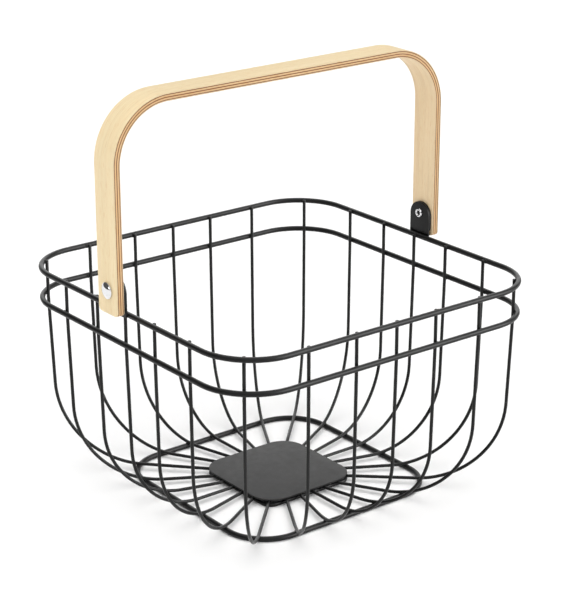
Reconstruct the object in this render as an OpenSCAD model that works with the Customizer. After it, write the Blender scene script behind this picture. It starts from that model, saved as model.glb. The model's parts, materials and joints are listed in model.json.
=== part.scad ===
// Square wire produce basket with a folding bentwood carrying handle.
// Millimetres. Origin at the middle of the base, on the table; Z is up.
// The basket is square in plan. The handle's hinge line runs along X.

/* [Basket size] */
// Half the width across the rim, to the middle of the rim wire
rim_half = 125.1; // [105:0.1:145]
// Corner radius of the two rim rings, to the middle of the wire
rim_corner = 38.6; // [25:0.1:55]
// Height of the middle of the top rim wire above the table
rim_height = 152.2; // [120:0.1:200]
// Distance from the top rim wire down to the lower rim wire
rim_pitch = 22.1; // [12:0.1:35]
// Half the width of the base ring, to the middle of its wire
base_half = 78.8; // [65:0.1:95]
// Corner radius of the base ring, to the middle of its wire
base_corner = 30.4; // [15:0.1:45]

/* [Wire] */
// Diameter of the ring wires
ring_wire = 3.7; // [2.5:0.1:5]
// Diameter of the rib wires
rib_wire = 2.3; // [1.5:0.1:3]
// Diameter of the small ring under the centre plate
hub_wire = 2.6; // [2:0.1:4]
// How deep crossing wires are sunk into each other at a weld
weld_sink = 0.2; // [0.05:0.05:0.4]
// Bend radius of the ribs at the middle of a side
bend_mid = 52.5; // [45:0.1:54]
// Bend radius of the ribs one step from the middle
bend_near = 54.5; // [48:0.1:56]
// Bend radius of the ribs two steps from the middle
bend_far = 60.3; // [52:0.1:61.5]
// Bend radius of the corner ribs
bend_corner = 61.5; // [52:0.1:62.5]
// Distance inside the base ring at which the corner ribs start to rise
corner_run = 3; // [0:0.5:5]
// How far the cut rib ends stand above the top of the rim wire
rib_proud = -0.8; // [-1.5:0.1:2]

/* [Centre plate] */
// Half the width of the centre plate
plate_half = 39.2; // [30:0.1:46]
// Corner radius of the centre plate
plate_corner = 17; // [5:0.5:25]
// Thickness of the centre plate
plate_thick = 1.2; // [0.8:0.1:3]
// Half the width of the small ring under the plate
hub_half = 35.5; // [25:0.5:40]
// Corner radius of the small ring under the plate
hub_corner = 7; // [5:0.5:20]

/* [Handle] */
// Height of the top of the handle above the table
handle_top = 291.5; // [230:0.5:340]
// Width of the bentwood strip
strip_wide = 21.6; // [15:0.1:30]
// Thickness of one outer face veneer of the strip
face_thick = 0.7; // [0.4:0.1:1]
// Thickness of one dark glue layer of the strip
glue_thick = 0.4; // [0.2:0.1:0.6]
// Thickness of one core ply of the strip
ply_thick = 1.3; // [0.8:0.1:2.5]
// Outer radius of the two upper bends
bend_outer = 42; // [25:0.5:60]
// Distance from the hinge line down to the end of a leg
leg_tail = 15.6; // [11:0.5:18]
// Corner radius at the end of a leg
leg_corner = 3; // [2:0.5:10]

/* [Hinge] */
// Height of the hinge line above the top rim wire
pivot_rise = 16.3; // [13:0.1:25]
// Width of the sheet brackets
tab_wide = 19.2; // [14:0.2:26]
// How far the middle of the round top of a bracket lies below the hinge line
tab_drop = 1.6; // [0:0.1:4]
// Thickness of the sheet brackets
tab_thick = 1.3; // [1:0.1:3]
// Thickness of the spacer between a bracket and the handle
spacer_thick = 1.4; // [0.4:0.1:2.5]
// Corner radius at the foot of a spacer
spacer_corner = 2.5; // [1:0.5:5]
// Side clearance on each face of a handle leg
side_gap = 0.3; // [0.3:0.05:0.6]
// Diameter of the rivet shank
shank_wide = 5; // [4:0.1:7]
// Running clearance around the shank, on the radius
shank_gap = 0.05; // [0.02:0.01:0.1]
// Diameter of the domed rivet head
head_wide = 11; // [8:0.5:14]
// Height of the domed rivet head
head_rise = 2.4; // [1.5:0.1:4]

/* [Hidden] */
ring_r = ring_wire / 2;
rib_r = rib_wire / 2;
hub_r = hub_wire / 2;
// Ribs stand every 15 degrees around the middle
rib_count = 24;
rib_step = 360 / rib_count;
// Middle-to-middle distance of a rib and a ring at a weld
weld_reach = ring_r + rib_r - weld_sink;
// Height of the rib middle where it lies on the small ring
rib_low = hub_wire + rib_r - weld_sink * 0.75;
rib_top = rim_height + ring_r + rib_proud;
// The ribs are upright beside the two rim rings and lean inward below them
kink_height = rim_height - rim_pitch - 3;
// Pieces of a rib stop just short of their joint balls
joint_trim = 0.05;
joint_swell = 0.02;
plate_low = rib_low + rib_r - 0.05;
handle_inner = rim_half + ring_r - weld_sink + tab_thick + spacer_thick + side_gap;
tab_inner = rim_half + ring_r - weld_sink;
tab_outer = tab_inner + tab_thick;
strip_thick = 2 * face_thick + 3 * glue_thick + 2 * ply_thick;
handle_outer = handle_inner + strip_thick;
pivot_height = rim_height + pivot_rise;
head_low = handle_outer + side_gap;
shank_r = shank_wide / 2;

// Where the seven layers of the strip start, counted from the inner face
layer_0 = 0;
layer_1 = face_thick;
layer_2 = layer_1 + glue_thick;
layer_3 = layer_2 + ply_thick;
layer_4 = layer_3 + glue_thick;
layer_5 = layer_4 + ply_thick;
layer_6 = layer_5 + glue_thick;

function pad3(n) = str(n < 100 ? "0" : "", n < 10 ? "0" : "", n);
function rib_name(k) = str("rib_", pad3(k * rib_step));

black = [0.13, 0.13, 0.13];
birch = [0.88, 0.76, 0.58];
glue_brown = [0.62, 0.42, 0.25];
steel = [0.8, 0.8, 0.8];

// Plan radius at which a ring is crossed on a bearing of step * 15 degrees
function ring_cross(half, corner, step) =
  step == 3 ? (half - corner) * sqrt(2) + corner : half / cos(step * rib_step);

// Bend radius of a rib
function rib_bend(step) =
  step == 0 ? bend_mid : step == 1 ? bend_near : step == 2 ? bend_far : bend_corner;

// Cosine between a rib and the straight ring side that it crosses
function rib_skew(step) = step == 3 ? 1 : cos(step * rib_step);

// Inner distance from the base ring at which a flat rib foot starts to rise
function foot_run(bend, skew) =
  let (round = bend * skew * skew)
  sqrt(pow(round + weld_reach, 2) - pow(round + rib_low - ring_r, 2));

// Lean of a rib between its foot bend and the kink, found by repetition
function rib_lean(turns, lean, top_x, foot_mid, bend) =
  turns == 0 ? lean : rib_lean(
    turns - 1,
    atan2(
      top_x - foot_mid[0] - bend * cos(lean),
      kink_height - foot_mid[1] + bend * sin(lean)
    ),
    top_x,
    foot_mid,
    bend
  );

// A closed square ring of round wire with round corners
module square_ring(half, corner, wire_r, height) {
  side = half - corner;
  translate([0, 0, height])
    for (turn = [0 : 3])
      rotate([0, 0, 90 * turn]) {
        translate([half, -side, 0])
          rotate([-90, 0, 0])
            cylinder(h = 2 * side, r = wire_r, $fn = 32);
        translate([side, side, 0])
          rotate_extrude(angle = 90, $fn = 96)
            translate([corner, 0])
              circle(r = wire_r, $fn = 32);
      }
}

// Part of a round wire bend in the XZ plane, a little short at both ends
module wire_bend(mid, bend, from_angle, to_angle) {
  trim = atan(joint_trim / bend);
  translate([mid[0], 0, mid[1]])
    rotate([90, 0, 0])
      rotate([0, 0, from_angle + trim])
        rotate_extrude(angle = to_angle - from_angle - 2 * trim, $fn = 96)
          translate([bend, 0])
            circle(r = rib_r, $fn = 24);
}

// A straight piece of rib in the XZ plane, a little short at its start
module wire_run(start, turn, long) {
  translate([start[0], 0, start[1]])
    rotate([0, turn, 0])
      translate([0, 0, joint_trim])
        cylinder(h = long - joint_trim, r = rib_r, $fn = 24);
}

// The ball that joins two pieces of rib, hardly thicker than the wire
module wire_joint(at) {
  translate([at[0], 0, at[1]])
    sphere(r = rib_r + joint_swell, $fn = 24);
}

// One rib in the XZ plane: upright, kink, lean, foot bend, foot
module rib_shape(step) {
  bend = rib_bend(step);
  skew = rib_skew(step);
  top_x = ring_cross(rim_half, rim_corner, step) - weld_reach / skew;
  base_x = ring_cross(base_half, base_corner, step);
  hub_x = ring_cross(hub_half, hub_corner, step);
  over_base = ring_r + weld_reach;
  slope = step == 3 ? atan2(over_base - rib_low, base_x - hub_x) : 0;
  foot_x = base_x - (step == 3 ? corner_run : foot_run(bend, skew) / skew);
  foot_z = step == 3 ? over_base - corner_run * tan(slope) : rib_low;
  foot_mid = [foot_x - bend * sin(slope), foot_z + bend * cos(slope)];
  lean = rib_lean(12, 0, top_x, foot_mid, bend);
  bend_top = [foot_mid[0] + bend * cos(lean), foot_mid[1] - bend * sin(lean)];
  lean_long = norm([top_x, kink_height] - bend_top);
  wire_run([top_x, kink_height], 0, rib_top - kink_height);
  wire_joint([top_x, kink_height]);
  wire_run(bend_top, lean, lean_long - joint_trim);
  wire_joint(bend_top);
  wire_bend(foot_mid, bend, slope - 90, -lean);
  wire_joint([foot_x, foot_z]);
  wire_run([foot_x, foot_z], -90 - slope, foot_x - hub_x + 5);
}

// The rib on bearing k * 15 degrees
module rib(k) {
  phase = k % 6;
  color(black)
    rotate([0, 0, k * rib_step])
      rib_shape(min(phase, 6 - phase));
}

module rim_ring() {
  color(black) square_ring(rim_half, rim_corner, ring_r, rim_height);
}

module lower_rim_ring() {
  color(black) square_ring(rim_half, rim_corner, ring_r, rim_height - rim_pitch);
}

module base_ring() {
  color(black) square_ring(base_half, base_corner, ring_r, ring_r);
}

module hub_ring() {
  color(black) square_ring(hub_half, hub_corner, hub_r, hub_r);
}

// Square with round corners, flat
module round_square(half, corner) {
  square([2 * half, 2 * (half - corner)], center = true);
  square([2 * (half - corner), 2 * half], center = true);
  for (x = [-1, 1])
    for (y = [-1, 1])
      translate([x * (half - corner), y * (half - corner)])
        circle(r = corner, $fn = 96);
}

module centre_plate() {
  color(black)
    translate([0, 0, plate_low])
      linear_extrude(plate_thick)
        round_square(plate_half, plate_corner);
}

// Outline of a bracket or spacer: round top near the hinge, foot with given corners
module tab_outline(foot, corner) {
  wide = tab_wide / 2;
  low = foot - pivot_height;
  translate([0, -tab_drop])
    circle(r = wide, $fn = 64);
  translate([-wide, low + corner])
    square([tab_wide, -tab_drop - low - corner]);
  if (corner > 0) {
    translate([corner - wide, low])
      square([tab_wide - 2 * corner, -tab_drop - low]);
    for (y = [-1, 1])
      translate([y * (wide - corner), low + corner])
        circle(r = corner, $fn = 32);
  }
}

// Turn a flat outline up so that its normal points along +X, on the hinge line
module on_hinge(start) {
  translate([start, 0, pivot_height])
    rotate([90, 0, 90])
      children();
}

module bracket(side) {
  color(black)
    rotate([0, 0, side > 0 ? 0 : 180])
      on_hinge(tab_inner)
        linear_extrude(tab_thick)
          difference() {
            tab_outline(rim_height - ring_r + 0.2, 0);
            circle(r = shank_r, $fn = 48);
          }
}

module bracket_left() {
  bracket(-1);
}

module bracket_right() {
  bracket(1);
}

module spacer(side) {
  color(black)
    rotate([0, 0, side > 0 ? 0 : 180])
      on_hinge(tab_outer)
        linear_extrude(spacer_thick)
          difference() {
            tab_outline(rim_height + ring_r + 2.4, spacer_corner);
            circle(r = shank_r, $fn = 48);
          }
}

module spacer_left() {
  spacer(-1);
}

module spacer_right() {
  spacer(1);
}

// Domed head outside, plain shank, rolled tail with an open end inside
module rivet(side) {
  edge = 0.6;
  head_r = head_wide / 2;
  crown = head_rise - edge;
  dome = (head_r * head_r + crown * crown) / (2 * crown);
  tail = 1.3;
  reach = head_low - tab_inner;
  color(steel)
    rotate([0, 0, side > 0 ? 0 : 180])
      on_hinge(tab_inner)
        rotate_extrude($fn = 64)
          difference() {
            union() {
              translate([0, -tail])
                square([3.3, tail]);
              translate([0, -0.5])
                square([shank_r, reach + 1]);
              intersection() {
                translate([0, reach])
                  square([head_r, head_rise + 1]);
                translate([0, reach + head_rise - dome])
                  circle(r = dome, $fn = 128);
              }
            }
            translate([-1, -tail - 1])
              square([2.5, tail + 3]);
          }
}

module rivet_left() {
  rivet(-1);
}

module rivet_right() {
  rivet(1);
}

// Filled outline of the arch at one face of the strip, in the XZ plane
module arch_outline(out) {
  half = handle_inner + out;
  top = handle_top - strip_thick + out;
  round = bend_outer - strip_thick + out;
  low = pivot_height - leg_tail - 5;
  translate([-half, low])
    square([2 * half, top - round - low]);
  translate([round - half, low])
    square([2 * (half - round), top - low]);
  for (x = [-1, 1])
    translate([x * (half - round), top - round])
      circle(r = round, $fn = 96);
}

// Width of the strip with the rounded leg ends, in the YZ plane
module strip_outline() {
  low = pivot_height - leg_tail;
  wide = strip_wide / 2;
  translate([-wide, low + leg_corner])
    square([strip_wide, handle_top - low]);
  translate([leg_corner - wide, low])
    square([strip_wide - 2 * leg_corner, handle_top - low]);
  for (y = [-1, 1])
    translate([y * (wide - leg_corner), low + leg_corner])
      circle(r = leg_corner, $fn = 64);
}

// One bent layer of the strip, bored for both rivets
module strip_layer(start, thick) {
  difference() {
    intersection() {
      translate([0, strip_wide / 2 + 1, 0])
        rotate([90, 0, 0])
          linear_extrude(strip_wide + 2)
            difference() {
              arch_outline(start + thick);
              arch_outline(start);
            }
      translate([-handle_outer - 5, 0, 0])
        rotate([90, 0, 90])
          linear_extrude(2 * handle_outer + 10)
            strip_outline();
    }
    on_hinge(-handle_outer - 5)
      cylinder(h = 2 * handle_outer + 10, r = shank_r + shank_gap, $fn = 48);
  }
}

module handle_face_inner() {
  color(birch) strip_layer(layer_0, face_thick);
}

module handle_glue_inner() {
  color(glue_brown) strip_layer(layer_1, glue_thick);
}

module handle_ply_inner() {
  color(birch) strip_layer(layer_2, ply_thick);
}

module handle_glue_middle() {
  color(glue_brown) strip_layer(layer_3, glue_thick);
}

module handle_ply_outer() {
  color(birch) strip_layer(layer_4, ply_thick);
}

module handle_glue_outer() {
  color(glue_brown) strip_layer(layer_5, glue_thick);
}

module handle_face_outer() {
  color(birch) strip_layer(layer_6, face_thick);
}

rim_ring();
lower_rim_ring();
base_ring();
hub_ring();
centre_plate();
for (k = [0 : rib_count - 1])
  rib(k);
bracket_left();
bracket_right();
spacer_left();
spacer_right();
rivet_left();
rivet_right();
handle_face_inner();
handle_glue_inner();
handle_ply_inner();
handle_glue_middle();
handle_ply_outer();
handle_glue_outer();
handle_face_outer();
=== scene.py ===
import json
import math
import random

import bmesh
import bpy
from mathutils import Matrix, Vector


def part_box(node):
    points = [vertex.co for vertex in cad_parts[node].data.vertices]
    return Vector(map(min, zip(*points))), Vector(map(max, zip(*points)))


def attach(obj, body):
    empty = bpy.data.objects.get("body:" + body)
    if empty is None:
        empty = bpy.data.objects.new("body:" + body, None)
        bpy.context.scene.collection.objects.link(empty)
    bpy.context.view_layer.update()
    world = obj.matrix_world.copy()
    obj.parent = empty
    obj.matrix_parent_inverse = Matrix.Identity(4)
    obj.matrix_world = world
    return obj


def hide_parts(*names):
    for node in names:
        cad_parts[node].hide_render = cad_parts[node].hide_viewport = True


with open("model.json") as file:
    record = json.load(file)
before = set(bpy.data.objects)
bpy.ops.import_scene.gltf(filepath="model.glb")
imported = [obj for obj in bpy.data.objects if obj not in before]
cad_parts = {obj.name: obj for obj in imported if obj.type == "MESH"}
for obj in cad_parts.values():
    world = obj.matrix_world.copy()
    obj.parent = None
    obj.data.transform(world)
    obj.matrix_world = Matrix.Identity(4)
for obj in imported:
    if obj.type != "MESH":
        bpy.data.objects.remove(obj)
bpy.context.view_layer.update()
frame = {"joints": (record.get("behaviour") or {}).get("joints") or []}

MM = 0.001

# ---------------------------------------------------------------- sizes, in metres
RING_R = 1.85 * MM
RIB_R = 1.15 * MM
HUB_R = 1.3 * MM
RIM_CORNER = 38.6 * MM
BASE_CORNER = 30.4 * MM
HUB_CORNER = 7 * MM
PLATE_CORNER = 17 * MM
WELD_SINK = 0.2 * MM
RIB_STEP = 15
RIB_COUNT = 24
# Bend radius of a rib by its distance from the middle of a side, in steps
RIB_BEND = (52.5 * MM, 54.5 * MM, 60.3 * MM, 61.5 * MM)
# Distance inside the base ring at which the corner ribs start to rise
CORNER_RUN = 3 * MM
# The ribs are upright down to this far below the lower rim ring
KINK_DROP = 3 * MM
# How far the ribs run in past the small ring under the plate
RIB_UNDER = 5 * MM
RIB_END_ROUND = 0.18 * MM
# Half sizes of a weld nugget: along the first wire, along the second, outward
WELD_SIZE = (1.55 * MM, 1.35 * MM, 0.75 * MM)
PLATE_EDGE_ROUND = 0.35 * MM

FACE_THICK = 0.7 * MM
GLUE_THICK = 0.4 * MM
PLY_THICK = 1.3 * MM
BEND_OUTER = 42 * MM
LEG_CORNER = 3 * MM
STRIP_EDGE_ROUND = 0.35 * MM

# The round top of a bracket is centred this far below the hinge line
TAB_DROP = 1.6 * MM
TAB_FOOT_ROUND = 1.2 * MM
TAB_EDGE_ROUND = 0.3 * MM
SPACER_CORNER = 2.5 * MM
SPACER_EDGE_ROUND = 0.15 * MM
LEAST_ROUND = 0.05 * MM

SHANK_R = 2.5 * MM
BORE_R = 2.55 * MM
HEAD_R = 5.5 * MM
HEAD_RISE = 2.4 * MM
HEAD_EDGE = 0.6 * MM
HEAD_ROUND = 0.25 * MM
HEAD_UNDERCUT = 0.15 * MM
TAIL_R = 3.3 * MM
TAIL_ROUND = 0.3 * MM
TAIL_HOLE_R = 1.5 * MM
# Where the roll of the tail starts, and how deep its hole is at the wall and in the middle
TAIL_START = 0.4 * MM
TAIL_HOLE_WALL = 0.6 * MM
TAIL_HOLE_DEEP = 0.9 * MM

# Sizes that the frame gives
RIM_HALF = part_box("rim_ring")[1].x - RING_R
RIM_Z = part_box("rim_ring")[1].z - RING_R
LOWER_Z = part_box("lower_rim_ring")[1].z - RING_R
BASE_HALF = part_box("base_ring")[1].x - RING_R
HUB_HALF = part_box("hub_ring")[1].x - HUB_R
PLATE_LOW, PLATE_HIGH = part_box("centre_plate")
RIB_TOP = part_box("rib_000")[1].z
TAB_LOW, TAB_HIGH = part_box("bracket_right")
SPACER_LOW, SPACER_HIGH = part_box("spacer_right")
RIVET_LOW, RIVET_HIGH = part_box("rivet_right")
PIVOT_Z = frame["joints"][0]["pos_m"][2]
STRIP_LOW, STRIP_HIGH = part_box("handle_face_outer")
STRIP_HALF_WIDE = STRIP_HIGH.y
STRIP_THICK = 2 * FACE_THICK + 3 * GLUE_THICK + 2 * PLY_THICK
STRIP_INNER = STRIP_HIGH.x - STRIP_THICK
STRIP_TIP = STRIP_LOW.z
STRIP_TOP = STRIP_HIGH.z


# ---------------------------------------------------------------- materials
class Nodes:
    """A material's node tree with short calls for making and joining nodes."""

    def __init__(self, name):
        self.material = bpy.data.materials.new(name)
        self.material.use_nodes = True
        self.tree = self.material.node_tree
        self.shader = self.tree.nodes["Principled BSDF"]

    def add(self, kind, **settings):
        node = self.tree.nodes.new("ShaderNode" + kind)
        for key, value in settings.items():
            setattr(node, key, value)
        return node

    def join(self, source, target):
        self.tree.links.new(source, target)

    def place(self, scale=(1, 1, 1), attribute=None):
        """Texture coordinates in metres: the object's own, or a named point attribute."""
        mapping = self.add("Mapping")
        mapping.inputs["Scale"].default_value = scale
        if attribute:
            source = self.add("Attribute", attribute_name=attribute)
            self.join(source.outputs["Vector"], mapping.inputs["Vector"])
        else:
            source = self.add("TexCoord")
            self.join(source.outputs["Object"], mapping.inputs["Vector"])
        return mapping.outputs["Vector"]

    def noise(self, where, scale, detail=3, roughness=0.55):
        node = self.add("TexNoise")
        self.join(where, node.inputs["Vector"])
        node.inputs["Scale"].default_value = scale
        node.inputs["Detail"].default_value = detail
        node.inputs["Roughness"].default_value = roughness
        return node.outputs["Fac"]

    def ramp(self, factor, *stops):
        """Colour ramp: each stop is (position, colour or grey value)."""
        node = self.add("ValToRGB")
        self.join(factor, node.inputs["Fac"])
        while len(node.color_ramp.elements) < len(stops):
            node.color_ramp.elements.new(0.5)
        for element, (position, colour) in zip(node.color_ramp.elements, stops):
            element.position = position
            grey = isinstance(colour, (int, float))
            element.color = (colour, colour, colour, 1) if grey else (*colour, 1)
        return node.outputs["Color"]

    def mix(self, a, b, factor, blend="MIX"):
        """Mix of two colour outputs; factor is a number or an output."""
        node = self.add("Mix", data_type="RGBA", blend_type=blend)
        self.join(a, node.inputs["A"])
        self.join(b, node.inputs["B"])
        if isinstance(factor, (int, float)):
            node.inputs["Factor"].default_value = factor
        else:
            self.join(factor, node.inputs["Factor"])
        return node.outputs["Result"]

    def maths(self, operation, first, second=0.0, third=0.0):
        """One sum on an output and two numbers."""
        node = self.add("Math", operation=operation)
        self.join(first, node.inputs[0])
        node.inputs[1].default_value = second
        node.inputs[2].default_value = third
        return node.outputs["Value"]

    def bump(self, height, distance, strength=1.0, under=None):
        node = self.add("Bump")
        node.inputs["Strength"].default_value = strength
        node.inputs["Distance"].default_value = distance
        self.join(height, node.inputs["Height"])
        if under is not None:
            self.join(under, node.inputs["Normal"])
        return node.outputs["Normal"]

    def finish(self, colour=None, roughness=None, normal=None, **constants):
        for name, source in (("Base Color", colour), ("Roughness", roughness), ("Normal", normal)):
            if source is not None:
                self.join(source, self.shader.inputs[name])
        for name, value in constants.items():
            self.shader.inputs[name.replace("_", " ")].default_value = value
        return self.material


def powder_coat(name, dark, light, grain_scale, rough_low, rough_high):
    """Baked powder coat: orange-peel ripple, a finer grit and slow changes of tone."""
    n = Nodes(name)
    where = n.place()
    ripple = n.noise(where, grain_scale, detail=2)
    grit = n.noise(where, grain_scale * 6, detail=3)
    patches = n.noise(where, 35, detail=3)
    tone = n.ramp(patches, (0.3, dark), (0.75, light))
    speck = n.ramp(grit, (0.30, 0.82), (0.7, 1.0))
    colour = n.mix(tone, speck, 1.0, "MULTIPLY")
    rough = n.ramp(n.noise(where, 160, detail=3), (0.3, rough_low), (0.7, rough_high))
    normal = n.bump(ripple, 0.00012, 0.5)
    normal = n.bump(grit, 0.00002, 0.5, under=normal)
    return n.finish(colour, rough, normal, Metallic=0.0, Specular_IOR_Level=0.2)


def birch(name, light, mid, dark, edge=False):
    """Pale birch: long fibres, faint growth figure, short dark flecks and pores."""
    n = Nodes(name)
    along = 1 if edge else 0.7
    where = n.place((9 * along, 260, 700 if edge else 260), "strip")
    fibre = n.noise(where, 1.0, detail=6, roughness=0.62)
    fine = n.noise(n.place((40, 1500, 1500), "strip"), 1.0, detail=4)
    figure = n.noise(n.place((5, 60, 60), "strip"), 1.0, detail=3)
    fleck = n.noise(n.place((160, 1700, 1700), "strip"), 1.0, detail=2)
    base = n.ramp(fibre, (0.28, dark), (0.5, mid), (0.72, light))
    slow = n.ramp(figure, (0.3, 0.95), (0.7, 1.0))
    colour = n.mix(base, slow, 1.0, "MULTIPLY")
    lines = n.ramp(fine, (0.32, 0.93), (0.5, 1.0))
    colour = n.mix(colour, lines, 0.8, "MULTIPLY")
    flecks = n.ramp(fleck, (0.30, (0.90, 0.77, 0.60)), (0.45, (1.0, 1.0, 1.0)))
    colour = n.mix(colour, flecks, 0.7, "MULTIPLY")
    if edge:
        # Glue has soaked a little way into the cut plies beside each dark line
        parts = n.add("SeparateXYZ")
        n.join(n.place((1, 1, 1 / MM), "strip"), parts.inputs["Vector"])
        above = n.maths("SUBTRACT", parts.outputs["Z"], (FACE_THICK + GLUE_THICK / 2) / MM)
        away = n.maths("PINGPONG", above, (PLY_THICK + GLUE_THICK) / MM / 2)
        stain = n.ramp(away, (0.22, (0.66, 0.33, 0.11)), (0.40, (1.0, 1.0, 1.0)))
        colour = n.mix(colour, stain, 1.0, "MULTIPLY")
    rough = n.ramp(fine, (0.2, 0.62), (0.8, 0.46))
    normal = n.bump(fine, 0.00006, 0.6)
    normal = n.bump(fleck, 0.00003, 0.4, under=normal)
    return n.finish(colour, rough, normal, Specular_IOR_Level=0.4)


def chrome(name):
    """Bright plating: mirror-like, with faint handling marks."""
    n = Nodes(name)
    where = n.place()
    marks = n.noise(n.place((3000, 300, 900)), 1.0, detail=4)
    haze = n.noise(where, 500, detail=3)
    colour = n.ramp(haze, (0.3, (0.72, 0.72, 0.73)), (0.7, (0.82, 0.82, 0.83)))
    rough = n.ramp(marks, (0.35, 0.05), (0.75, 0.16))
    normal = n.bump(marks, 0.000004, 0.4)
    return n.finish(colour, rough, normal, Metallic=1.0)


COAT = powder_coat("black_coat", 0.009, 0.014, 1300, 0.28, 0.38)
PLATE_COAT = powder_coat("plate_coat", 0.046, 0.060, 1100, 0.52, 0.62)
SPACER_BLACK = powder_coat("spacer_black", 0.010, 0.018, 1500, 0.5, 0.62)
BIRCH_FACE = birch("birch_face", (0.93, 0.77, 0.50), (0.91, 0.74, 0.46), (0.88, 0.70, 0.42))
BIRCH_INNER = birch("birch_inner", (0.94, 0.75, 0.49), (0.90, 0.70, 0.44), (0.81, 0.60, 0.36))
BIRCH_EDGE = birch("birch_edge", (0.97, 0.72, 0.42), (0.93, 0.66, 0.36), (0.84, 0.55, 0.28), True)
GLUE_EDGE = birch("glue_edge", (0.46, 0.15, 0.02), (0.36, 0.11, 0.012), (0.25, 0.07, 0.008), True)
CHROME = chrome("chrome")


# ---------------------------------------------------------------- mesh helpers
def add_piece(name, mesh, material, body, nodes):
    """Puts a finished mesh in the scene as a piece that stands for CAD nodes."""
    mesh.materials.clear()
    mesh.materials.append(material)
    for face in mesh.polygons:
        face.use_smooth = True
    piece = bpy.data.objects.new(name, mesh)
    bpy.context.scene.collection.objects.link(piece)
    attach(piece, body)
    if nodes:
        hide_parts(*nodes)
    return piece


def smooth_by_angle(piece, degrees=35):
    """Keeps real edges sharp while round surfaces shade smoothly."""
    mesh = piece.data
    limit = math.radians(degrees)
    bm = bmesh.new()
    bm.from_mesh(mesh)
    for edge in bm.edges:
        edge.smooth = len(edge.link_faces) == 2 and edge.calc_face_angle(0) < limit
    bm.to_mesh(mesh)
    bm.free()
    return piece


def arc_points(middle, radius, start, end, count):
    """Points on a circle in a plane, angles in degrees, both ends included."""
    points = []
    for i in range(count + 1):
        angle = math.radians(start + (end - start) * i / count)
        points.append((middle[0] + radius * math.cos(angle), middle[1] + radius * math.sin(angle)))
    return points


def tube_mesh(name, path, radius, side, closed=False, sides=20, round_end=0.0):
    """A round wire along a path. side is a direction that the path never runs along."""
    rows = []
    count = len(path)
    for i, point in enumerate(path):
        before = path[i - 1] if closed or i else point
        after = path[(i + 1) % count] if closed or i < count - 1 else point
        ahead = (after - before).normalized()
        across = ahead.cross(side).normalized()
        up = across.cross(ahead)
        rows.append([(point, radius, across, up)])
    if not closed and round_end:
        first, last = path[0], path[-1]
        back = (path[0] - path[1]).normalized() * round_end
        out = (path[-1] - path[-2]).normalized() * round_end
        rows.insert(0, [(first, radius - round_end, rows[0][0][2], rows[0][0][3])])
        rows[1] = [(first - back, radius, rows[1][0][2], rows[1][0][3])]
        rows.append([(last, radius - round_end, rows[-1][0][2], rows[-1][0][3])])
        rows[-2] = [(last - out, radius, rows[-2][0][2], rows[-2][0][3])]
    bm = bmesh.new()
    rings = []
    for ((point, r, across, up),) in rows:
        ring = []
        for k in range(sides):
            angle = 2 * math.pi * k / sides
            ring.append(bm.verts.new(point + r * (across * math.cos(angle) + up * math.sin(angle))))
        rings.append(ring)
    pairs = list(zip(rings, rings[1:]))
    if closed:
        pairs.append((rings[-1], rings[0]))
    for a, b in pairs:
        for k in range(sides):
            j = (k + 1) % sides
            bm.faces.new((a[k], a[j], b[j], b[k]))
    if not closed:
        bm.faces.new(rings[0])
        bm.faces.new(reversed(rings[-1]))
    bmesh.ops.recalc_face_normals(bm, faces=bm.faces)
    mesh = bpy.data.meshes.new(name)
    bm.to_mesh(mesh)
    bm.free()
    return mesh


# ---------------------------------------------------------------- rings and ribs
def ring_path(half, corner, height):
    """Middle line of a square ring with round corners."""
    side = half - corner
    points = []
    for turn in range(4):
        angle = 90 * turn
        quarter = arc_points((side, side), corner, 0, 90, 18)
        cos, sin = math.cos(math.radians(angle)), math.sin(math.radians(angle))
        for x, y in quarter:
            points.append(Vector((x * cos - y * sin, x * sin + y * cos, height)))
        # The straight side, in short steps, so that the surface shades evenly
        start = points[-1]
        sx, sy = -side, side + corner
        end = Vector((sx * cos - sy * sin, sx * sin + sy * cos, height))
        for i in range(1, 12):
            points.append(start.lerp(end, i / 12))
    return points


def ring_cross(half, corner, step):
    """Distance from the middle at which a ring is crossed by a rib."""
    if step == 3:
        return (half - corner) * math.sqrt(2) + corner
    return half / math.cos(math.radians(step * RIB_STEP))


WELD_REACH = RING_R + RIB_R - WELD_SINK
RIB_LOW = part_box("rib_000")[0].z + RIB_R
KINK_Z = LOWER_Z - KINK_DROP


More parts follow.
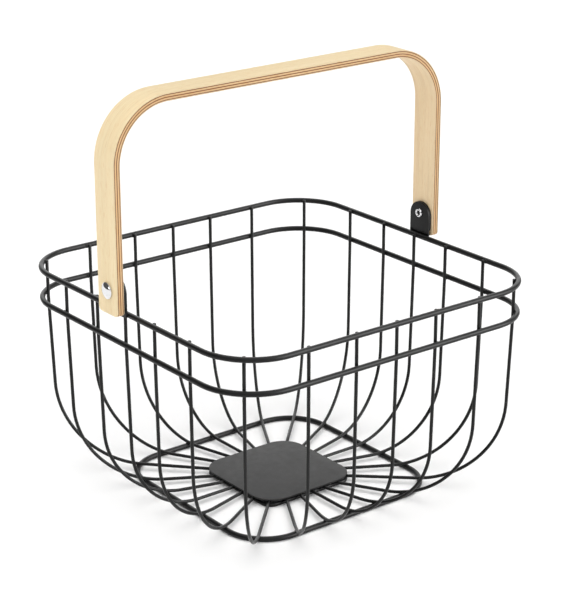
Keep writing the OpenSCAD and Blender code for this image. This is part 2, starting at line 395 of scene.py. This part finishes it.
def rib_line(step):
    """Middle line of a rib from its top end to its end under the plate, as (x, z)."""
    bend = RIB_BEND[step]
    skew = 1 if step == 3 else math.cos(math.radians(step * RIB_STEP))
    top_x = ring_cross(RIM_HALF, RIM_CORNER, step) - WELD_REACH / skew
    base_x = ring_cross(BASE_HALF, BASE_CORNER, step)
    hub_x = ring_cross(HUB_HALF, HUB_CORNER, step)
    over_base = RING_R + WELD_REACH
    if step == 3:
        slope = math.atan2(over_base - RIB_LOW, base_x - hub_x)
        foot = (base_x - CORNER_RUN, over_base - CORNER_RUN * math.tan(slope))
    else:
        slope = 0
        curve = bend * skew * skew
        run = math.sqrt((curve + WELD_REACH) ** 2 - (curve + RIB_LOW - RING_R) ** 2)
        foot = (base_x - run / skew, RIB_LOW)
    middle = (foot[0] - bend * math.sin(slope), foot[1] + bend * math.cos(slope))
    lean = 0
    for _ in range(12):
        rise = KINK_Z - middle[1] + bend * math.sin(lean)
        lean = math.atan2(top_x - middle[0] - bend * math.cos(lean), rise)
    points = [(top_x, RIB_TOP), (top_x, (RIB_TOP + KINK_Z) / 2), (top_x, KINK_Z)]
    high = (middle[0] + bend * math.cos(lean), middle[1] - bend * math.sin(lean))
    for i in range(1, 4):
        share = i / 4
        points.append((
            top_x + (high[0] - top_x) * share,
            KINK_Z + (high[1] - KINK_Z) * share,
        ))
    points += arc_points(middle, bend, -math.degrees(lean), math.degrees(slope) - 90, 26)
    end_x = hub_x - RIB_UNDER
    for i in range(1, 4):
        run = (foot[0] - end_x) * i / 3
        points.append((foot[0] - run * math.cos(slope), foot[1] - run * math.sin(slope)))
    return points


def turned(x, y, z, degrees):
    """A point turned about the upright axis."""
    angle = math.radians(degrees)
    cos, sin = math.cos(angle), math.sin(angle)
    return Vector((x * cos - y * sin, x * sin + y * cos, z))


UP = Vector((0, 0, 1))
for ring_name, half, corner, height, radius in (
    ("rim_ring", RIM_HALF, RIM_CORNER, RIM_Z, RING_R),
    ("lower_rim_ring", RIM_HALF, RIM_CORNER, LOWER_Z, RING_R),
    ("base_ring", BASE_HALF, BASE_CORNER, RING_R, RING_R),
    ("hub_ring", HUB_HALF, HUB_CORNER, HUB_R, HUB_R),
):
    path = ring_path(half, corner, height)
    ring_mesh = tube_mesh(ring_name + "_wire", path, radius, UP, closed=True, sides=28)
    add_piece(ring_name + "_wire", ring_mesh, COAT, "basket", [ring_name])

for k in range(RIB_COUNT):
    bearing = k * RIB_STEP
    phase = k % 6
    step = min(phase, 6 - phase)
    line = [turned(x, 0, z, bearing) for x, z in rib_line(step)]
    across = turned(0, 1, 0, bearing)
    node = f"rib_{bearing:03d}"
    rib_mesh = tube_mesh(
        node + "_wire", line, RIB_R, across, sides=18, round_end=RIB_END_ROUND
    )
    smooth_by_angle(add_piece(node + "_wire", rib_mesh, COAT, "basket", [node]), 50)


# ---------------------------------------------------------------- welds
def weld_bead(bm, at, along, out, size, draw):
    """A small smooth nugget, sized along one wire, along the other and outward."""
    third = along.cross(out).normalized()
    made = bmesh.ops.create_icosphere(bm, subdivisions=2, radius=1.0)["verts"]
    for v in made:
        wobble = 1 + draw.uniform(-0.05, 0.05)
        a, b, c = v.co
        v.co = at + (along * a * size[0] + third * b * size[1] + out * c * size[2]) * wobble


draw = random.Random(7)
bm = bmesh.new()
for k in range(RIB_COUNT):
    bearing = k * RIB_STEP
    phase = k % 6
    step = min(phase, 6 - phase)
    side_turn = 90 * round(bearing / 90)
    out = turned(1, 0, 0, bearing if step == 3 else side_turn)
    # Where the rib lies against each rim ring
    for height in (RIM_Z, LOWER_Z):
        rib_x = ring_cross(RIM_HALF, RIM_CORNER, step)
        point = turned(rib_x, 0, height, bearing) - out * (RING_R - WELD_SINK / 2)
        weld_bead(bm, point, UP, out, WELD_SIZE, draw)
    # Where the rib lies over the base ring
    base_x = ring_cross(BASE_HALF, BASE_CORNER, step)
    high = turned(base_x, 0, 2 * RING_R - WELD_SINK / 2, bearing)
    weld_bead(bm, high, out, UP, WELD_SIZE, draw)
weld_mesh = bpy.data.meshes.new("weld_beads")
bm.to_mesh(weld_mesh)
bm.free()
add_piece("weld_beads", weld_mesh, COAT, "basket", [])


# ---------------------------------------------------------------- centre plate
def round_square(half, corner, count=16):
    """Outline of a square with round corners, anticlockwise."""
    side = half - corner
    points = []
    for turn, (sx, sy) in enumerate(((1, 1), (-1, 1), (-1, -1), (1, -1))):
        points += arc_points((sx * side, sy * side), corner, 90 * turn, 90 * turn + 90, count)
    return points


def sheet_mesh(name, outline_of, low, high, rounding, steps=4):
    """A flat sheet with rounded edges. outline_of(inset) gives its outline."""
    levels = []
    for i in range(steps + 1):
        angle = math.pi / 2 * i / steps
        levels.append((rounding * (1 - math.sin(angle)), low + rounding * (1 - math.cos(angle))))
    for i in range(steps + 1):
        angle = math.pi / 2 * i / steps
        levels.append((rounding * (1 - math.cos(angle)), high - rounding * (1 - math.sin(angle))))
    bm = bmesh.new()
    rings = []
    for inset, height in levels:
        rings.append([bm.verts.new((x, y, height)) for x, y in outline_of(inset)])
    for a, b in zip(rings, rings[1:]):
        for k in range(len(a)):
            j = (k + 1) % len(a)
            bm.faces.new((a[k], a[j], b[j], b[k]))
    bm.faces.new(reversed(rings[0]))
    bm.faces.new(rings[-1])
    mesh = bpy.data.meshes.new(name)
    bm.to_mesh(mesh)
    bm.free()
    return mesh


def plate_outline(inset):
    return round_square(PLATE_HIGH.x - inset, PLATE_CORNER - inset)


plate_mesh = sheet_mesh("plate_sheet", plate_outline, PLATE_LOW.z, PLATE_HIGH.z, PLATE_EDGE_ROUND)
plate = add_piece("plate_sheet", plate_mesh, PLATE_COAT, "basket", ["centre_plate"])
smooth_by_angle(plate)


# ---------------------------------------------------------------- brackets and spacers
def tab_outline(half, foot, foot_round):
    """Outline of a tab about the hinge line: round top, foot with eased corners."""
    def outline(inset):
        top = half - inset
        points = arc_points((0, -TAB_DROP), top, 0, 180, 32)
        r = max(foot_round - inset, LEAST_ROUND)
        low = foot + inset
        points += arc_points((-top + r, low + r), r, 180, 270, 5)
        points += arc_points((top - r, low + r), r, 270, 360, 5)
        return points
    return outline


def stand_up(mesh, side):
    """Turns a flat mesh so that its normal points along X, on the hinge line."""
    for v in mesh.vertices:
        across, rise, out = v.co
        v.co = (side * out, side * across, PIVOT_Z + rise)
    return mesh


for side, word in ((-1, "left"), (1, "right")):
    tab_foot = TAB_LOW.z - PIVOT_Z
    outline = tab_outline(TAB_HIGH.y, tab_foot, TAB_FOOT_ROUND)
    tab_mesh = sheet_mesh("tab_" + word, outline, TAB_LOW.x, TAB_HIGH.x, TAB_EDGE_ROUND)
    tab = add_piece("tab_" + word, stand_up(tab_mesh, side), COAT, "basket",
                    ["bracket_" + word])
    smooth_by_angle(tab)
    spacer_foot = SPACER_LOW.z - PIVOT_Z
    outline = tab_outline(SPACER_HIGH.y, spacer_foot, SPACER_CORNER)
    spacer_mesh = sheet_mesh(
        "washer_" + word, outline, SPACER_LOW.x, SPACER_HIGH.x, SPACER_EDGE_ROUND
    )
    spacer = add_piece("washer_" + word, stand_up(spacer_mesh, side), SPACER_BLACK, "basket",
                       ["spacer_" + word])
    smooth_by_angle(spacer)


# ---------------------------------------------------------------- rivets
def lathe_mesh(name, profile, side, count=64):
    """A turned solid about the hinge line. profile is (radius, place along X) pairs."""
    bm = bmesh.new()
    rings = []
    for radius, place in profile:
        if radius < 1e-7:
            rings.append([bm.verts.new((side * place, 0, PIVOT_Z))])
            continue
        ring = []
        for k in range(count):
            angle = 2 * math.pi * k / count
            y = radius * math.cos(angle)
            z = radius * math.sin(angle)
            ring.append(bm.verts.new((side * place, y, PIVOT_Z + z)))
        rings.append(ring)
    for a, b in zip(rings, rings[1:]):
        for k in range(count):
            j = (k + 1) % count
            if len(a) == 1:
                bm.faces.new((a[0], b[j], b[k]))
            elif len(b) == 1:
                bm.faces.new((a[k], a[j], b[0]))
            else:
                bm.faces.new((a[k], a[j], b[j], b[k]))
    bmesh.ops.recalc_face_normals(bm, faces=bm.faces)
    mesh = bpy.data.meshes.new(name)
    bm.to_mesh(mesh)
    bm.free()
    return mesh


def rivet_profile():
    """From the crown of the head, down the shank, to the rolled tail and its hole."""
    crown = RIVET_HIGH.x
    under = crown - HEAD_RISE
    rise = HEAD_RISE - HEAD_EDGE
    dome = (HEAD_R ** 2 + rise ** 2) / (2 * rise)
    profile = [(0, crown)]
    edge_angle = math.asin((HEAD_R - HEAD_ROUND) / dome)
    for i in range(1, 15):
        angle = edge_angle * i / 14
        profile.append((dome * math.sin(angle), crown - dome * (1 - math.cos(angle))))
    last = profile[-1][1]
    for i in range(1, 6):
        angle = math.pi / 2 * i / 5
        profile.append((
            HEAD_R - HEAD_ROUND + HEAD_ROUND * math.sin(angle),
            last - HEAD_ROUND * (1 - math.cos(angle)),
        ))
    profile.append((HEAD_R, under + HEAD_UNDERCUT))
    profile.append((HEAD_R - HEAD_UNDERCUT, under))
    profile.append((SHANK_R, under))
    profile.append((SHANK_R, TAB_LOW.x))
    # The tail is rolled outward, like a small ring with a hole in it
    profile.append((TAIL_R - TAIL_ROUND, TAB_LOW.x))
    tail_depth = TAB_LOW.x - RIVET_LOW.x
    middle = (TAIL_R + TAIL_HOLE_R) / 2
    half = (TAIL_R - TAIL_HOLE_R) / 2
    for i in range(0, 13):
        angle = math.pi * i / 12
        profile.append((
            middle + half * math.cos(angle),
            TAB_LOW.x - TAIL_START - (tail_depth - TAIL_START) * math.sin(angle),
        ))
    profile.append((TAIL_HOLE_R, TAB_LOW.x + TAIL_HOLE_WALL))
    profile.append((0, TAB_LOW.x + TAIL_HOLE_DEEP))
    return profile


for side, word in ((-1, "left"), (1, "right")):
    rivet_mesh = lathe_mesh("rivet_body_" + word, rivet_profile(), side)
    rivet = add_piece("rivet_body_" + word, rivet_mesh, CHROME, "basket", ["rivet_" + word])
    smooth_by_angle(rivet, 40)


# ---------------------------------------------------------------- handle
def arch_path():
    """Stations along the strip: (length from the left tip, x and z of the inner face, outward)."""
    round_in = BEND_OUTER - STRIP_THICK
    half = STRIP_INNER
    top = STRIP_TOP - STRIP_THICK
    shoulder = top - round_in
    stations = []
    length = 0.0
    # Close steps near the tip follow its round corners
    leg = [LEG_CORNER * (1 - math.cos(math.pi / 2 * i / 10)) for i in range(11)]
    rest = shoulder - STRIP_TIP
    leg += [LEG_CORNER + (rest - LEG_CORNER) * i / 10 for i in range(1, 11)]
    for rise in leg:
        stations.append((rise, -half, STRIP_TIP + rise, -1.0, 0.0))
    length = rest
    for i in range(1, 25):
        angle = math.pi / 2 * i / 24
        stations.append((
            length + (round_in + STRIP_THICK / 2) * angle,
            -half + round_in - round_in * math.cos(angle),
            shoulder + round_in * math.sin(angle),
            -math.cos(angle),
            math.sin(angle),
        ))
    length += (round_in + STRIP_THICK / 2) * math.pi / 2
    flat = half - round_in
    for i in range(1, 9):
        share = i / 8
        stations.append((length + flat * share, -flat * (1 - share), top, 0.0, 1.0))
    length += flat
    left = list(stations)
    for s, x, z, nx, nz in reversed(left[:-1]):
        stations.append((2 * length - s, -x, z, -nx, nz))
    return stations


STATIONS = arch_path()
STRIP_LONG = STATIONS[-1][0]


def strip_half_width(s):
    """Half width of the strip at a length along it; the tips have round corners."""
    near = min(s, STRIP_LONG - s)
    if near >= LEG_CORNER:
        return STRIP_HALF_WIDE
    return STRIP_HALF_WIDE - LEG_CORNER + math.sqrt(LEG_CORNER ** 2 - (LEG_CORNER - near) ** 2)


def layer_section(start, thick, ease_low, ease_high, across=14):
    """Section of one layer as (side share, inset, height) points around it."""
    ease = STRIP_EDGE_ROUND
    points = []
    low, high = start, start + thick
    turns = [math.pi / 2 * i / 4 for i in range(5)]

    def lower(sign, angles):
        if not ease_low:
            return [(sign, 0, low)]
        return [(sign, ease * (1 - math.sin(a)), low + ease * (1 - math.cos(a))) for a in angles]

    def upper(sign, angles):
        if not ease_high:
            return [(sign, 0, high)]
        return [(sign, ease * (1 - math.cos(a)), high - ease * (1 - math.sin(a))) for a in angles]

    points += lower(1, turns)
    points += upper(1, turns)
    points += [(1 - 2 * i / across, 0, high) for i in range(1, across)]
    points += upper(-1, reversed(turns))
    points += lower(-1, reversed(turns))
    points += [(-1 + 2 * i / across, 0, low) for i in range(1, across)]
    return points


def layer_mesh(name, section):
    """Sweeps a layer's section along the strip, with strip coordinates on its points."""
    bm = bmesh.new()
    tag = bm.verts.layers.float_vector.new("strip")
    rings = []
    for s, x, z, nx, nz in STATIONS:
        wide = strip_half_width(s)
        ring = []
        for share, inset, height in section:
            y = share * wide - math.copysign(inset, share) if abs(share) == 1 else share * wide
            v = bm.verts.new((x + nx * height, y, z + nz * height))
            v[tag] = (s, y, height)
            ring.append(v)
        rings.append(ring)
    for a, b in zip(rings, rings[1:]):
        for k in range(len(a)):
            j = (k + 1) % len(a)
            bm.faces.new((a[k], a[j], b[j], b[k]))
    bm.faces.new(reversed(rings[0]))
    bm.faces.new(rings[-1])
    bmesh.ops.recalc_face_normals(bm, faces=bm.faces)
    mesh = bpy.data.meshes.new(name)
    bm.to_mesh(mesh)
    bm.free()
    return mesh


def bore(mesh, radius):
    """Cuts both rivet holes through a layer and puts strip coordinates on the new points."""
    reach = STRIP_INNER + STRIP_THICK + 5 * MM
    drill = bmesh.new()
    spin = Matrix.Translation((0, 0, PIVOT_Z)) @ Matrix.Rotation(math.pi / 2, 4, "Y")
    bmesh.ops.create_cone(drill, cap_ends=True, segments=48, radius1=radius, radius2=radius,
                          depth=2 * reach, matrix=spin)
    drill_mesh = bpy.data.meshes.new("drill")
    drill.to_mesh(drill_mesh)
    drill.free()
    tool = bpy.data.objects.new("drill", drill_mesh)
    work = bpy.data.objects.new("work", mesh)
    for item in (tool, work):
        bpy.context.scene.collection.objects.link(item)
    cut = work.modifiers.new("bore", "BOOLEAN")
    cut.operation = "DIFFERENCE"
    cut.solver = "EXACT"
    cut.object = tool
    seen = work.evaluated_get(bpy.context.evaluated_depsgraph_get())
    bored = bpy.data.meshes.new_from_object(seen)
    bored.name = mesh.name
    for item in (tool, work):
        bpy.data.objects.remove(item)
    tags = bored.attributes["strip"].data
    for v, tag in zip(bored.vertices, tags):
        if v.co.z < PIVOT_Z + 2 * radius:
            rise = v.co.z - STRIP_TIP
            s = rise if v.co.x < 0 else STRIP_LONG - rise
            tag.vector = (s, v.co.y, abs(v.co.x) - STRIP_INNER)
    return bored


LAYERS = (
    ("face_inner", FACE_THICK, BIRCH_INNER, "birch"),
    ("glue_inner", GLUE_THICK, GLUE_EDGE, "glue_line"),
    ("ply_inner", PLY_THICK, BIRCH_EDGE, "birch"),
    ("glue_middle", GLUE_THICK, GLUE_EDGE, "glue_line"),
    ("ply_outer", PLY_THICK, BIRCH_EDGE, "birch"),
    ("glue_outer", GLUE_THICK, GLUE_EDGE, "glue_line"),
    ("face_outer", FACE_THICK, BIRCH_FACE, "birch"),
)
start = 0.0
for index, (layer, thick, material, slot_name) in enumerate(LAYERS):
    section = layer_section(start, thick, index == 0, index == len(LAYERS) - 1)
    mesh = bore(layer_mesh("strip_" + layer, section), BORE_R)
    smooth_by_angle(
        add_piece("strip_" + layer, mesh, material, "handle", ["handle_" + layer]), 30
    )
    start += thick


# ---------------------------------------------------------------- floor, light, camera
floor_mesh = bpy.data.meshes.new("floor")
FLOOR_HALF = 8.0
floor_mesh.from_pydata(
    [(x * FLOOR_HALF, y * FLOOR_HALF, 0) for x, y in ((-1, -1), (1, -1), (1, 1), (-1, 1))],
    [],
    [(0, 1, 2, 3)],
)
floor = bpy.data.objects.new("floor", floor_mesh)
bpy.context.scene.collection.objects.link(floor)
floor_nodes = Nodes("floor_white")
floor_tone = floor_nodes.ramp(
    floor_nodes.noise(floor_nodes.place(), 3), (0.3, 0.93), (0.7, 0.95)
)
floor_mesh.materials.append(floor_nodes.finish(floor_tone, Roughness=0.9, Specular_IOR_Level=0.1))


def toward(azimuth, elevation):
    """Unit vector from the object to a lamp or camera, angles in radians."""
    return Vector((
        math.sin(azimuth) * math.cos(elevation),
        -math.cos(azimuth) * math.cos(elevation),
        math.sin(elevation),
    ))


def sun_light(name, azimuth, elevation, wide, power):
    """A very soft sun: azimuth as for the camera, wide is its angle in degrees."""
    light = bpy.data.lights.new(name, "SUN")
    light.angle = math.radians(wide)
    light.energy = power
    lamp = bpy.data.objects.new(name, light)
    back = toward(math.radians(azimuth), math.radians(elevation))
    lamp.rotation_euler = (-back).to_track_quat("-Z", "Y").to_euler()
    bpy.context.scene.collection.objects.link(lamp)
    return lamp


def light_only(lamp, objects):
    """Keeps a lamp for some objects, so that the wires throw no streaks on the floor."""
    lit = bpy.data.collections.new(lamp.name + "_lit")
    for item in objects:
        lit.objects.link(item)
    lamp.light_linking.receiver_collection = lit


pieces = [item for item in bpy.context.scene.objects if item.type == "MESH" and item != floor]
wood = [item for item in pieces if item.name.startswith("strip_")]
rivets = [item for item in pieces if item.name.startswith("rivet_")]
coated = [item for item in pieces if item not in wood + rivets and item != plate]
# A broad sun from above, one from the right for the wires' highlights, one from the left
sun_light("top_sun", -10, 78, 90, 2.1)
light_only(sun_light("right_sun", 37, 15, 55, 5.2), coated)
light_only(sun_light("left_sun", -88, 34, 100, 1.18), wood)
# A narrower one keeps the polished heads from turning white all over
light_only(sun_light("rivet_sun", -88, 20, 30, 0.5), rivets)
# Light thrown back by the white backdrop, stronger on the wires than on the wood
light_only(sun_light("back_sun", 142, 30, 70, 1.7), coated + [plate])
light_only(sun_light("back_sun_soft", 142, 30, 70, 0.5), wood)
# The floor alone gets this one, so that it comes out white as in a light tent
light_only(sun_light("floor_sun", 0, 85, 120, 1.45), [floor])


def studio_world(dim):
    """A dim, even surround; what the camera sees directly, past the floor, is plain white."""
    world = bpy.data.worlds.new("studio")
    bpy.context.scene.world = world
    world.use_nodes = True
    tree = world.node_tree
    background = tree.nodes["Background"]
    background.inputs["Color"].default_value = (1, 1, 1, 1)
    rays = tree.nodes.new("ShaderNodeLightPath")
    seen = tree.nodes.new("ShaderNodeMix")
    seen.inputs["A"].default_value = dim
    seen.inputs["B"].default_value = 1.0
    tree.links.new(rays.outputs["Is Camera Ray"], seen.inputs["Factor"])
    tree.links.new(seen.outputs["Result"], background.inputs["Strength"])


studio_world(0.1)

CAMERA_LENS = 117.6
CAMERA_PLACE = (-0.7593, -0.9827, 0.5878)
camera_data = bpy.data.cameras.new("camera")
camera = bpy.data.objects.new("camera", camera_data)
bpy.context.scene.collection.objects.link(camera)
bpy.context.scene.camera = camera
camera_data.sensor_width = 36
camera_data.lens = CAMERA_LENS
camera.location = CAMERA_PLACE
CAMERA_AZIMUTH = math.radians(-38.098)
CAMERA_ELEVATION = math.radians(20.193)
back = toward(CAMERA_AZIMUTH, CAMERA_ELEVATION)
camera.rotation_euler = (-back).to_track_quat("-Z", "Y").to_euler()
camera_data.shift_y = 0.001
camera_data.clip_start = 0.05
camera_data.clip_end = 50

scene = bpy.context.scene
scene.view_settings.view_transform = "Standard"
scene.view_settings.look = "None"
